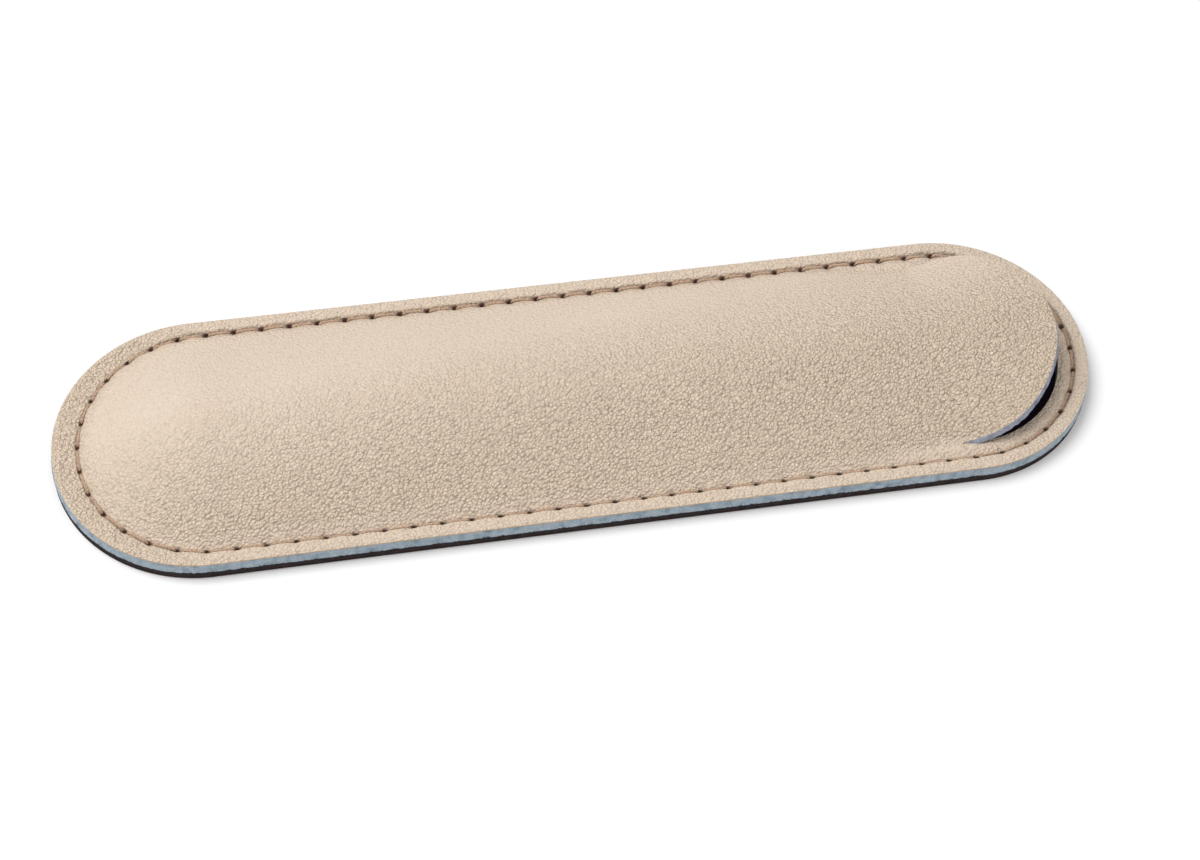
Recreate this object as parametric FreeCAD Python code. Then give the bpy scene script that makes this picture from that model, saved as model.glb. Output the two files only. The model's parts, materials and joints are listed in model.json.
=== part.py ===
"""Single pen sleeve: two leather panels, cemented and lockstitched round the edge, with a curved mouth.

Millimetres, +Z up. X runs along the sleeve towards the mouth and Y across it. The origin is the middle of
the back panel's outer face, which lies on the table. The front panel is domed for the pen. A curved slit
in it leaves a sewn rim round the end and frees a tongue of leather, the mouth lip, which bends up.
"""

import FreeCAD
import Part
import math
import os

Vector = FreeCAD.Vector
UP = Vector(0, 0, 1)
ALONG = Vector(1, 0, 0)
QUARTER_TURN = 90.0
HALF_TURN = 180.0

# Outline and leather
sleeve_length = 131.0
sleeve_width = 36.0
front_leather = 1.6
back_leather = 1.2
edge_lean = 0.35

# Cement film between the panels, measured in from the edge
cement_film = 0.1
cement_margin = 2.9

# Dome of the front panel
dome_margin = 2.5
crown_height = 5.4
mouth_rise = 0.2
foot_radius = 1.2

# Mouth
mouth_rim = 4.1
slit_run = 2.3
slit_gap = 0.4
lip_setback = 1.1
lip_root_gap = 0.25
lip_shoulder_radius = 3.2

# Lockstitch seam
stitch_margin = 2.1
stitch_length = 3.5
thread_diameter = 0.55
thread_ply_gap = 0.05
thread_proud = 0.15
thread_sunk = 0.05
lock_gap = 0.06
bed_clearance = 0.05
hole_clearance = 0.1

# One overrun serves every cut
cut_overrun = 1.0

# Heights of the layers
back_top = back_leather
rim_bottom = back_top + cement_film
rim_top = rim_bottom + front_leather

# Plan of the sleeve
end_radius = sleeve_width / 2
end_centre = sleeve_length / 2 - end_radius
stitch_radius = end_radius - stitch_margin
slit_radius = end_radius - mouth_rim
lip_half_width = slit_radius - slit_gap
lip_tip = end_centre + slit_radius - lip_setback
lip_round_centre = lip_tip - lip_half_width
lip_root = end_centre - slit_run
taper_share = (lip_root + end_centre) / (lip_tip + end_centre)
mouth_crown_height = crown_height + mouth_rise
root_crown_height = crown_height + mouth_rise * taper_share

# Threads: each one lies in a bed between two holes and dips into every hole
thread_radius = thread_diameter / 2
leg_offset = thread_radius + thread_ply_gap / 2
bend_radius = leg_offset
needle_run_z = rim_top + thread_proud - thread_radius
bobbin_run_z = thread_sunk + thread_radius
needle_bed_z = needle_run_z - thread_radius - bed_clearance
bobbin_bed_z = bobbin_run_z + thread_radius + bed_clearance
lock_z = (needle_run_z + bobbin_run_z) / 2
loop_reach = lock_gap / 2 + thread_radius + leg_offset


def segment(start, end):
    """A straight edge."""
    return Part.LineSegment(start, end).toShape()


def arc(start, middle, end):
    """A round edge through three points."""
    return Part.Arc(start, middle, end).toShape()


def prism(wire, bottom, top):
    """The solid over a flat outline drawn at height zero."""
    face = Part.Face(wire)
    face.translate(UP * bottom)
    return face.extrude(UP * (top - bottom))


def stadium(radius):
    """Outline with straight sides and round ends, at one radius about the two end centres."""
    corners = [Vector(x, y) for x, y in ((-end_centre, -radius), (end_centre, -radius),
                                         (end_centre, radius), (-end_centre, radius))]
    tips = Vector(end_centre + radius, 0), Vector(-end_centre - radius, 0)
    return Part.Wire([
        segment(corners[0], corners[1]),
        arc(corners[1], tips[0], corners[2]),
        segment(corners[2], corners[3]),
        arc(corners[3], tips[1], corners[0]),
    ])


class DomeProfile:
    """Round curves of the domed leather in one cross-section, seen along X.

    A hollow arc rolls up out of the flat rim at the foot and a crown arc closes the top. The inner face
    has the same arc centres, one leather thickness away.
    """

    def __init__(self, x, foot, height):
        self.x = x
        self.foot = foot
        self.crown_radius = (foot ** 2 + (height - foot_radius) ** 2 - foot_radius ** 2) / (2 * height)
        self.crown_centre = rim_top + height - self.crown_radius
        self.foot_centre = rim_top + foot_radius
        rise = self.foot_centre - self.crown_centre
        self.slope = math.atan2(foot, rise)

    def point(self, y, z):
        """A point of this cross-section."""
        return Vector(self.x, y, z)

    def crown_point(self, angle, depth):
        """A point on the crown arc, at an angle from the top and a depth under the grain."""
        radius = self.crown_radius - depth
        return self.point(radius * math.sin(angle), self.crown_centre + radius * math.cos(angle))

    def foot_point(self, side, angle, depth):
        """A point on a foot arc, at an angle from its lowest point."""
        radius = foot_radius + depth
        return self.point(side * (self.foot - radius * math.sin(angle)),
                          self.foot_centre - radius * math.cos(angle))

    def foot_arc(self, side, depth):
        """The foot arc, from the flat rim to the crown."""
        return arc(self.foot_point(side, 0, depth),
                   self.foot_point(side, self.slope / 2, depth),
                   self.crown_point(side * self.slope, depth))

    def crown_arc(self, start, end, depth):
        """The crown arc between two angles."""
        return arc(self.crown_point(start, depth),
                   self.crown_point((start + end) / 2, depth),
                   self.crown_point(end, depth))

    def whole_section(self):
        """Closed outline of the panel from edge to edge, with its flat rims."""
        slope, foot, lean = self.slope, self.foot, end_radius - edge_lean
        return Part.Wire([
            segment(self.point(-end_radius, rim_bottom), self.point(-lean, rim_top)),
            segment(self.point(-lean, rim_top), self.point(-foot, rim_top)),
            self.foot_arc(-1, 0),
            self.crown_arc(-slope, slope, 0),
            self.foot_arc(1, 0),
            segment(self.point(foot, rim_top), self.point(lean, rim_top)),
            segment(self.point(lean, rim_top), self.point(end_radius, rim_bottom)),
            segment(self.point(end_radius, rim_bottom), self.point(foot, rim_bottom)),
            self.foot_arc(1, front_leather),
            self.crown_arc(slope, -slope, front_leather),
            self.foot_arc(-1, front_leather),
            segment(self.point(-foot, rim_bottom), self.point(-end_radius, rim_bottom)),
        ])

    def half_section(self):
        """Closed outline of the +Y half, up to the middle line."""
        slope, foot, lean = self.slope, self.foot, end_radius - edge_lean
        return Part.Wire([
            self.crown_arc(0, slope, 0),
            self.foot_arc(1, 0),
            segment(self.point(foot, rim_top), self.point(lean, rim_top)),
            segment(self.point(lean, rim_top), self.point(end_radius, rim_bottom)),
            segment(self.point(end_radius, rim_bottom), self.point(foot, rim_bottom)),
            self.foot_arc(1, front_leather),
            self.crown_arc(slope, 0, front_leather),
            segment(self.crown_point(0, front_leather), self.crown_point(0, 0)),
        ])

    def strip(self):
        """Closed outline of the domed part alone, from foot to foot."""
        slope = self.slope
        return Part.Wire([
            self.foot_arc(-1, 0),
            self.crown_arc(-slope, slope, 0),
            self.foot_arc(1, 0),
            segment(self.foot_point(1, 0, 0), self.foot_point(1, 0, front_leather)),
            self.foot_arc(1, front_leather),
            self.crown_arc(slope, -slope, front_leather),
            self.foot_arc(-1, front_leather),
            segment(self.foot_point(-1, 0, front_leather), self.foot_point(-1, 0, 0)),
        ])


class LipProfile(DomeProfile):
    """Fuller cross-section at the free edge of the lip, with round shoulders in place of hollow feet."""

    def __init__(self, x, foot, height):
        self.x = x
        self.foot = foot
        inset = foot - lip_shoulder_radius
        drop = height - lip_shoulder_radius
        self.crown_radius = (inset ** 2 + height ** 2 - lip_shoulder_radius ** 2) / (2 * drop)
        self.crown_centre = rim_top + height - self.crown_radius
        self.slope = math.atan2(inset, rim_top - self.crown_centre)

    def foot_point(self, side, angle, depth):
        """A point on a shoulder arc, at an angle above its upright foot."""
        radius = lip_shoulder_radius - depth
        return self.point(side * (self.foot - lip_shoulder_radius + radius * math.cos(angle)),
                          rim_top + radius * math.sin(angle))

    def foot_arc(self, side, depth):
        """The shoulder arc, from the foot to the crown."""
        return arc(self.foot_point(side, 0, depth),
                   self.foot_point(side, (math.pi / 2 - self.slope) / 2, depth),
                   self.crown_point(side * self.slope, depth))


def dome_foot():
    """Half width of the dome at its closed end."""
    return end_radius - dome_margin


def rim_section(x, side):
    """Closed outline of the flat rim beside the slit, on one side."""
    corners = [
        Vector(x, side * slit_radius, rim_bottom),
        Vector(x, side * end_radius, rim_bottom),
        Vector(x, side * (end_radius - edge_lean), rim_top),
        Vector(x, side * slit_radius, rim_top),
    ]
    return Part.makePolygon(corners + corners[:1])


def front_panel():
    """Domed front leather with the rim that runs round the mouth."""
    closed_end = DomeProfile(-end_centre, dome_foot(), crown_height)
    root = DomeProfile(lip_root, slit_radius, root_crown_height)
    body = Part.makeLoft([closed_end.whole_section(), root.whole_section()], True, True)
    axis_left, axis_right = Vector(-end_centre, 0, 0), Vector(end_centre, 0, 0)
    round_end = Part.Face(closed_end.half_section()).revolve(axis_left, UP, HALF_TURN)
    side_rims = [Part.Face(rim_section(lip_root, side)).extrude(ALONG * slit_run) for side in (-1, 1)]
    mouth_end = Part.Face(rim_section(end_centre, -1)).revolve(axis_right, UP, HALF_TURN)
    return body.fuse([round_end, *side_rims, mouth_end]).removeSplitter()


def mouth_lip():
    """Tongue of the front leather inside the slit, up to its root."""
    root = DomeProfile(lip_root + lip_root_gap, slit_radius, root_crown_height)
    front = LipProfile(lip_tip + cut_overrun, slit_radius, mouth_crown_height)
    tunnel = Part.makeLoft([root.strip(), front.strip()], True, True)
    corners = [Vector(x, side * lip_half_width) for x, side in
               ((lip_root, -1), (lip_round_centre, -1), (lip_round_centre, 1), (lip_root, 1))]
    outline = Part.Wire([
        segment(corners[0], corners[1]),
        arc(corners[1], Vector(lip_tip, 0), corners[2]),
        segment(corners[2], corners[3]),
        segment(corners[3], corners[0]),
    ])
    return tunnel.common(prism(outline, 0, rim_top + mouth_crown_height + cut_overrun))


def back_panel():
    """Flat back leather."""
    return prism(stadium(end_radius), 0, back_top)


def seam_cement():
    """Film of cement along the edge, between the two leathers."""
    film = prism(stadium(end_radius), back_top, rim_bottom)
    return film.cut(prism(stadium(end_radius - cement_margin), 0, rim_top))


class Seam:
    """Evenly spaced stitches on a line set in from the edge."""

    def __init__(self):
        self.straight = 2 * end_centre
        self.turn = math.pi * stitch_radius
        length = 2 * (self.straight + self.turn)
        self.count = round(length / stitch_length)
        self.pitch = length / self.count
        self.holes = [self.place((n + 0.5) * self.pitch) for n in range(self.count)]

    def place(self, run):
        """Point and direction on the stitch line, a given run from the start of the near side."""
        if run >= self.straight + self.turn:
            point, direction = self.place(run - self.straight - self.turn)
            return point * -1, direction * -1
        if run <= self.straight:
            return Vector(run - end_centre, -stitch_radius), ALONG
        angle = (run - self.straight) / stitch_radius
        outward = Vector(math.sin(angle), -math.cos(angle))
        return Vector(end_centre, 0) + outward * stitch_radius, UP.cross(outward)

    def stitches(self):
        """Start and end of each stitch, from one leg to the next."""
        for (point, along), (after, along_after) in zip(self.holes, self.holes[1:] + self.holes[:1]):
            yield point + along * leg_offset, after - along_after * leg_offset

    def hole_cuts(self):
        """Slot-shaped needle holes through every layer."""
        radius = thread_radius + hole_clearance
        for point, along in self.holes:
            across = UP.cross(along) * radius
            reach = along * leg_offset
            tip = along * (leg_offset + radius)
            outline = Part.Wire([
                segment(point - reach - across, point + reach - across),
                arc(point + reach - across, point + tip, point + reach + across),
                segment(point + reach + across, point - reach + across),
                arc(point - reach + across, point - tip, point - reach - across),
            ])
            yield prism(outline, -cut_overrun, rim_top + cut_overrun)

    def bed_cuts(self, bottom, top):
        """Straight beds that the stitches are pulled into."""
        for start, end in self.stitches():
            across = UP.cross(end - start).normalize() * (thread_radius + bed_clearance)
            corners = [start - across, end - across, end + across, start + across]
            yield prism(Part.makePolygon(corners + corners[:1]), bottom, top)


class ThreadTube:
    """A round thread, made face by face along straight runs and round turns."""

    def __init__(self, start, direction):
        self.end = Part.makeCircle(thread_radius, start, direction)
        self.faces = []
        self.length = 0.0

    def straight(self, run):
        """Carries the thread on along a vector."""
        self.faces.append(self.end.extrude(run))
        self.end = self.end.translated(run)
        self.length += run.Length

    def turn(self, centre, axis, angle):
        """Carries the thread round a bend."""
        self.faces.append(self.end.revolve(centre, axis, angle))
        self.end = self.end.copy()
        self.end.rotate(centre, axis, angle)
        self.length += math.radians(angle) * self.end.Curve.Center.distanceToLine(centre, axis)

    def solid(self):
        """The closed loop of thread as one solid."""
        shell = Part.makeShell(self.faces)
        shell.sewShape()
        body = Part.makeSolid(shell)
        if body.Volume < 0:
            body.reverse()
        return body


def thread(seam, run_z, inward):
    """One unbroken thread: a run along each stitch and a dip, along inward, into each hole."""
    level = UP * run_z
    loop_z = UP * lock_z - inward * loop_reach
    stitches = list(seam.stitches())
    first = (stitches[0][1] - stitches[0][0]).normalize()
    tube = ThreadTube(stitches[0][0] + first * bend_radius + level, first)
    for index, (start, end) in enumerate(stitches):
        along = (end - start).normalize()
        after = (index + 1) % seam.count
        point, hole_along = seam.holes[after]
        next_start, next_end = stitches[after]
        next_along = (next_end - next_start).normalize()
        corner = level + inward * bend_radius
        leg = loop_z - corner
        tube.straight(end - start - along * (2 * bend_radius))
        tube.turn(end - along * bend_radius + corner, along.cross(inward), QUARTER_TURN)
        tube.straight(leg)
        tube.turn(point + loop_z, inward.cross(hole_along), HALF_TURN)
        tube.straight(leg * -1)
        tube.turn(next_start + next_along * bend_radius + corner, next_along.cross(inward), QUARTER_TURN)
    body = tube.solid()
    drawn = math.pi * thread_radius ** 2 * tube.length
    print(f"thread: {seam.count} stitches, {tube.length:.1f} long, volume {body.Volume:.2f} of {drawn:.2f}")
    return body


def main():
    """Builds every piece and writes one file for each."""
    seam = Seam()
    holes = list(seam.hole_cuts())
    front_beds = list(seam.bed_cuts(needle_bed_z, rim_top + cut_overrun))
    back_beds = list(seam.bed_cuts(-cut_overrun, bobbin_bed_z))
    pieces = {
        "front_panel": front_panel().cut(front_beds).cut(holes),
        "mouth_lip": mouth_lip(),
        "back_panel": back_panel().cut(back_beds).cut(holes),
        "seam_cement": seam_cement().cut(holes),
        "needle_thread": thread(seam, needle_run_z, UP * -1),
        "bobbin_thread": thread(seam, bobbin_run_z, UP),
    }
    os.makedirs("parts", exist_ok=True)
    for name, shape in pieces.items():
        box = shape.BoundBox
        print(f"{name}: {len(shape.Solids)} solid, valid {shape.isValid()}, volume {shape.Volume:.1f}, "
              f"{box.XLength:.2f} x {box.YLength:.2f} x {box.ZLength:.2f}")
        shape.exportStep(f"parts/{name}.step")


main()
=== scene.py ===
"""Single pen sleeve: cream domed front leather, brown back leather, a lockstitched edge and a curved mouth.

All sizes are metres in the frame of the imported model: +X runs towards the mouth, +Z is up, and the back
leather lies on z = 0.
"""

import json
import logging
import math
import random
from dataclasses import dataclass
from enum import Enum
from typing import Any, Callable, Iterator

import bmesh
import bpy
import numpy as np
from mathutils import Matrix, Vector, noise


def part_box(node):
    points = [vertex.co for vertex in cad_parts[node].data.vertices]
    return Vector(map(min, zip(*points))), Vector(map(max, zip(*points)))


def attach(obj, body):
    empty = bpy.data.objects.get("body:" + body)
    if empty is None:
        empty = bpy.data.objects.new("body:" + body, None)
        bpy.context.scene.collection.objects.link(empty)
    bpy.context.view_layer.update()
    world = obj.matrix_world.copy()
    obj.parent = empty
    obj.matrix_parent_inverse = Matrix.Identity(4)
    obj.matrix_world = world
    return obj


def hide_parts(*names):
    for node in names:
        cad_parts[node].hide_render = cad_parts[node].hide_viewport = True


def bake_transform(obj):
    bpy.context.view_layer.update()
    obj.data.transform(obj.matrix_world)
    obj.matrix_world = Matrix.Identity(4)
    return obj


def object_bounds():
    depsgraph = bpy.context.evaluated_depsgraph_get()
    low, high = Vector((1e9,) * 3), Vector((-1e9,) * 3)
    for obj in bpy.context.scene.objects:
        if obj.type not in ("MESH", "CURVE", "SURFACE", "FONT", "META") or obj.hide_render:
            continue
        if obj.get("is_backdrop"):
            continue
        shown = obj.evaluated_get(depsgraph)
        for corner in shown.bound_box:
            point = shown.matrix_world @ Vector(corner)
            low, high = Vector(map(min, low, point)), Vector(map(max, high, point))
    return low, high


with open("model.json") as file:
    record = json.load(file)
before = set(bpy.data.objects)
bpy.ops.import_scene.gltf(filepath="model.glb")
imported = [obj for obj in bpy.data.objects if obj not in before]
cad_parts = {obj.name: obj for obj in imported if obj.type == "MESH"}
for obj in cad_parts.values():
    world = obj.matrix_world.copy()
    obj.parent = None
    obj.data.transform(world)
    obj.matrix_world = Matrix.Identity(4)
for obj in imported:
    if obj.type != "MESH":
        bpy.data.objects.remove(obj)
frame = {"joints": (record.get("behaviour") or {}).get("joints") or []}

LOG = logging.getLogger("pen_sleeve")
MM = 0.001
FULL_TURN = 2 * math.pi
# Faces that meet at less than this are shaded as one surface.
SMOOTH_ANGLE = math.radians(42)


class Element(Enum):
    """What a choice in edit mode picks out."""

    VERTS = "VERT"
    EDGES = "EDGE"
    FACES = "FACE"


class Layer(Enum):
    """Faces of a piece of leather, in the order of its material slots."""

    GRAIN = 0
    FLESH = 1
    CUT = 2


class Side(Enum):
    """Which way a row of stitches faces along Z."""

    FRONT = 1
    BACK = -1


def deselect_all() -> None:
    """Leaves edit mode with nothing selected."""
    if bpy.context.object and bpy.context.object.mode != "OBJECT":
        bpy.ops.object.mode_set(mode="OBJECT")
    bpy.ops.object.select_all(action="DESELECT")


def take(obj: bpy.types.Object) -> None:
    """Makes one object the only selected and active one.

    Args:
        obj: The object to take.
    """
    deselect_all()
    obj.select_set(True)
    bpy.context.view_layer.objects.active = obj


def choose(obj: bpy.types.Object, element: Element, test: Callable[[Any], bool]) -> int:
    """Selects parts of a mesh in edit mode by a test on each one.

    Args:
        obj: The mesh object, which is in edit mode.
        element: The kind of part to select.
        test: Says of one vertex, edge or face whether it is taken.

    Returns:
        How many parts were taken.
    """
    bpy.ops.mesh.select_mode(type=element.value)
    bpy.ops.mesh.select_all(action="DESELECT")
    mesh = bmesh.from_edit_mesh(obj.data)
    taken = [part for part in getattr(mesh, element.name.lower()) if test(part)]
    for part in taken:
        part.select_set(True)
    mesh.select_flush_mode()
    bmesh.update_edit_mesh(obj.data)
    return len(taken)


def read_points(obj: bpy.types.Object) -> np.ndarray:
    """Reads the mesh's vertices.

    Args:
        obj: The mesh object, outside edit mode.

    Returns:
        Rows of x, y and z.
    """
    flat = np.zeros(len(obj.data.vertices) * 3)
    obj.data.vertices.foreach_get("co", flat)
    return flat.reshape(-1, 3)


def write_points(obj: bpy.types.Object, points: np.ndarray) -> None:
    """Puts moved vertices back into the mesh."""
    obj.data.vertices.foreach_set("co", points.ravel())
    obj.data.update()


def apply_modifier(obj: bpy.types.Object, modifier: bpy.types.Modifier) -> None:
    """Makes one modifier part of the mesh."""
    take(obj)
    bpy.ops.object.modifier_apply(modifier=modifier.name)


def join_all(pieces: list[bpy.types.Object]) -> bpy.types.Object:
    """Joins meshes into the first of them.

    Args:
        pieces: The mesh objects.

    Returns:
        The first object, which then holds them all.
    """
    deselect_all()
    for piece in pieces:
        piece.select_set(True)
    bpy.context.view_layer.objects.active = pieces[0]
    bpy.ops.object.join()
    return pieces[0]


def ease(value: np.ndarray, start: float, end: float) -> np.ndarray:
    """Smooth step from 0 at start to 1 at end."""
    share = np.clip((value - start) / (end - start), 0, 1)
    return share * share * (3 - 2 * share)


def flutter(points: np.ndarray, wavelength: float, seed: float) -> np.ndarray:
    """Smooth noise between about -1 and 1 at each point.

    Args:
        points: Rows of x, y and z.
        wavelength: Size of one swell, in metres.
        seed: Shifts the pattern.

    Returns:
        One value for each row.
    """
    shift = Vector((seed, seed / 2, -seed))
    return np.array([noise.noise(Vector(point) / wavelength + shift) for point in points])


def linear(colour: str) -> tuple[float, float, float, float]:
    """Turns an sRGB hex colour into a linear one.

    Args:
        colour: The colour as # and six hex digits.

    Returns:
        Linear red, green, blue and alpha.
    """
    channels = [int(colour[n:n + 2], 16) / 255 for n in (1, 3, 5)]
    red, green, blue = (c / 12.92 if c <= 0.04045 else ((c + 0.055) / 1.055) ** 2.4 for c in channels)
    return red, green, blue, 1.0


def add_node(tree: bpy.types.NodeTree, kind: str, inputs: dict[Any, Any] | None = None,
             **settings: Any) -> bpy.types.Node:
    """Adds a shader node with its settings, constants and links.

    Args:
        tree: The material's node tree.
        kind: Blender's name for the node.
        inputs: Socket name or number to a constant, or to the socket that feeds it.
        **settings: The node's own properties.

    Returns:
        The new node.
    """
    item = tree.nodes.new(kind)
    for name, value in settings.items():
        setattr(item, name, value)
    for key, value in (inputs or {}).items():
        if isinstance(value, bpy.types.NodeSocket):
            tree.links.new(value, item.inputs[key])
        else:
            item.inputs[key].default_value = value
    return item


def empty_material(name: str) -> tuple[bpy.types.Material, bpy.types.NodeTree]:
    """Starts a material with no nodes.

    Args:
        name: Name of the material.

    Returns:
        The material and its node tree.
    """
    material = bpy.data.materials.new(name)
    material.use_nodes = True
    material.node_tree.nodes.clear()
    return material, material.node_tree


@dataclass(frozen=True)
class GrainFinish:
    """Grain side of leather: pebbles parted by fine creases, a soft satin finish, and painted highlight and
    shade.

    Attributes:
        name: Name of the material.
        ground: Main colour.
        crease_shade: Painted shade in the hollows between the pebbles.
        highlight: Painted highlight on the pebbles' tops.
        bloom: Colour that drifts over the ground in clouds.
        roughness: Roughness of the finish.
        pebble: Width of one pebble.
        draw: How many times longer than wide the pebbles are.
        lay: Slant of the long pebbles from +X, in degrees.
        relief: Height that the grain stands for.
        crease_shade_share: Most that the painted shade in the hollows covers.
        highlight_share: Most that the painted highlight covers.
        wrinkle: Width of one wrinkle.
        wrinkle_strength: Height of the wrinkles beside that of the pebbles.
        evenness: How the grain deepens with each metre along X, Y and Z.
        depth: Depth of the grain in the middle of the sleeve.
        rim_top: Height of the sewn rim.
        rim_depth: Depth of the grain on the rim.
        closed_rim_depth: Depth of the grain on the rim at the closed end.
        hole_shade_colour: Colour of the painted shade in the needle holes and of the painted shadow along the
            groove between them.
        groove: How dark the painted shadow along the groove is.
        hole_length: Reach of a needle hole along the seam.
        hole_width: Reach of a needle hole across the seam.
        stitch_pitch: Run of the seam from one needle hole to the next.
        cloud: Size of one cloud of bloom.
        least_depth: Shallowest grain on the dome.
        most_depth: Deepest grain on the dome.
        dome_rise: Height over the rim where the dome's own depth of grain is reached.
        closed_end: Places along X between which the closed end's rim changes to that of the sides.
        seam_blur: Distance each side of the stitch line, in stitches, over which dome changes to rim.
        worn_range: Heights where the painted highlight starts, and is full.
        sunk_range: Heights where the painted shade in the hollows starts, and is full.
        hole_core: Share of a needle hole's reach that is quite dark.
        groove_edge: Distances from the stitch line, in stitches, between which the groove fades.
    """

    name: str
    ground: str
    crease_shade: str
    worn: str
    bloom: str
    roughness: float
    pebble: float
    draw: float
    lay: float
    relief: float
    crease_shade_share: float
    highlight_share: float
    wrinkle: float
    wrinkle_strength: float
    evenness: tuple[float, float, float]
    depth: float
    rim_top: float
    rim_depth: float
    closed_rim_depth: float
    hole_shade_colour: str
    groove: float
    hole_length: float
    hole_width: float
    stitch_pitch: float
    cloud: float = 14.0 * MM
    least_depth: float = 0.4
    most_depth: float = 1.35
    dome_rise: float = 0.7 * MM
    closed_end: tuple[float, float] = (-60 * MM, -42 * MM)
    seam_blur: float = 0.1
    worn_range: tuple[float, float] = (0.2, 0.9)
    sunk_range: tuple[float, float] = (0.64, 0.38)
    hole_core: float = 0.4
    groove_edge: tuple[float, float] = (0.03, 0.11)

    def material(self) -> bpy.types.Material:
        """Builds the leather from its grain, its colour and the painted highlight and shade of grain, holes
        and groove.

        Returns:
            The finished material.
        """
        material, tree = empty_material(self.name)
        place = add_node(tree, "ShaderNodeTexCoord").outputs["Object"]
        seam = add_node(tree, "ShaderNodeUVMap", uv_map="seam").outputs[0]
        seam = add_node(tree, "ShaderNodeSeparateXYZ", {0: seam})
        strength = self.strength(tree, place, seam)
        # The painted highlight and the painted shade grow with the grain's depth, so both are strongest on
        # the near flank, which the painted highlight also lightens as a whole.
        height, worn, crease_shade_mask = (
            add_node(tree, "ShaderNodeMath", {0: part, 1: strength}, operation="MULTIPLY").outputs[0]
            for part in self.grain(tree, place))
        relief = add_node(tree, "ShaderNodeBump", {
            "Strength": 1.0, "Distance": self.relief, "Height": height}).outputs[0]
        clouds = add_node(tree, "ShaderNodeTexNoise", {
            "Vector": place, "Scale": 1 / self.cloud, "Detail": 2.0}).outputs["Fac"]
        tone = add_node(tree, "ShaderNodeMix", {
            0: clouds, 6: linear(self.ground), 7: linear(self.bloom)}, data_type="RGBA").outputs[2]
        # Painted shade in the needle holes and a painted shadow along the groove, both in the holes' shade
        # colour, go over the painted highlight and shade of the grain.
        holes, groove = self.needle_holes(tree, seam)
        for share, colour in ((worn, self.worn), (crease_shade_mask, self.crease_shade), (groove, self.hole_shade_colour),
                              (holes, self.hole_shade_colour)):
            tone = add_node(tree, "ShaderNodeMix", {
                0: share, 6: tone, 7: linear(colour)}, data_type="RGBA").outputs[2]
        shader = add_node(tree, "ShaderNodeBsdfPrincipled", {
            "Base Color": tone, "Roughness": self.roughness, "Specular IOR Level": 0.35, "Normal": relief})
        add_node(tree, "ShaderNodeOutputMaterial", {"Surface": shader.outputs[0]})
        return material

    def strength(self, tree: bpy.types.NodeTree, place: bpy.types.NodeSocket, seam: bpy.types.Node
                 ) -> bpy.types.NodeSocket:
        """Depth of the grain: smoother where the leather is drawn tight, on the dome and on the rim apart.

        Args:
            tree: The material's node tree.
            place: Coordinates on the object.
            seam: Node that gives a place's run along the seam and its distance from it.

        Returns:
            The factor that the relief, the painted highlight and the painted shade are multiplied by.
        """
        across = add_node(tree, "ShaderNodeVectorMath", {
            0: place, 1: self.evenness}, operation="DOT_PRODUCT").outputs["Value"]
        across = add_node(tree, "ShaderNodeMath", {0: across, 1: self.depth}, operation="ADD").outputs[0]
        dome = add_node(tree, "ShaderNodeClamp", {
            "Value": across, "Min": self.least_depth, "Max": self.most_depth}).outputs[0]
        spot = add_node(tree, "ShaderNodeSeparateXYZ", {0: place})
        raised = add_node(tree, "ShaderNodeMapRange", {
            "Value": spot.outputs["Z"], "From Min": self.rim_top,
            "From Max": self.rim_top + self.dome_rise}).outputs[0]
        dome = add_node(tree, "ShaderNodeMix", {0: raised, 2: self.rim_depth, 3: dome}).outputs[0]
        rim = add_node(tree, "ShaderNodeMapRange", {
            "Value": spot.outputs["X"], "From Min": self.closed_end[0], "From Max": self.closed_end[1],
            "To Min": self.closed_rim_depth, "To Max": self.rim_depth}).outputs[0]
        outside = add_node(tree, "ShaderNodeMapRange", {
            "Value": seam.outputs["Y"], "From Min": -self.seam_blur, "From Max": self.seam_blur}).outputs[0]
        return add_node(tree, "ShaderNodeMix", {0: outside, 2: dome, 3: rim}).outputs[0]

    def grain(self, tree: bpy.types.NodeTree, place: bpy.types.NodeSocket
              ) -> tuple[bpy.types.NodeSocket, bpy.types.NodeSocket, bpy.types.NodeSocket]:
        """Round pebbles drawn out along a slant, fine creases between them, pores and wrinkles.

        Args:
            tree: The material's node tree.
            place: Coordinates on the object.

        Returns:
            The height of the grain, and how much painted highlight and painted shade each place takes.
        """
        sway = add_node(tree, "ShaderNodeTexNoise", {
            "Vector": place, "Scale": 0.4 / self.pebble, "Detail": 2.0}).outputs["Color"]
        laid = add_node(tree, "ShaderNodeMapping", {
            "Vector": place, "Rotation": (0.0, 0.0, math.radians(self.lay)), "Scale": (self.draw, 1.0, 1.0)},
            vector_type="TEXTURE").outputs[0]
        laid = add_node(tree, "ShaderNodeVectorMath", {
            0: sway, 1: (self.pebble,) * 3, 2: laid}, operation="MULTIPLY_ADD").outputs[0]
        hollows = add_node(tree, "ShaderNodeTexVoronoi", {
            "Vector": laid, "Scale": 1 / self.pebble, "Smoothness": 0.5},
            feature="SMOOTH_F1").outputs["Distance"]
        edges = add_node(tree, "ShaderNodeTexVoronoi", {
            "Vector": laid, "Scale": 1 / self.pebble}, feature="DISTANCE_TO_EDGE").outputs["Distance"]
        creases = add_node(tree, "ShaderNodeMapRange", {
            "Value": edges, "From Max": 0.16, "To Min": 1.0, "To Max": 0.0}).outputs[0]
        ridges = add_node(tree, "ShaderNodeTexNoise", {
            "Vector": laid, "Scale": 1.1 / self.pebble, "Detail": 1.0}).outputs["Fac"]
        pores = add_node(tree, "ShaderNodeTexNoise", {
            "Vector": laid, "Scale": 3 / self.pebble, "Detail": 3.0}).outputs["Fac"]
        folds = add_node(tree, "ShaderNodeTexNoise", {
            "Vector": laid, "Scale": 1 / self.wrinkle, "Detail": 3.0, "Distortion": 0.6}).outputs["Fac"]
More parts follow.
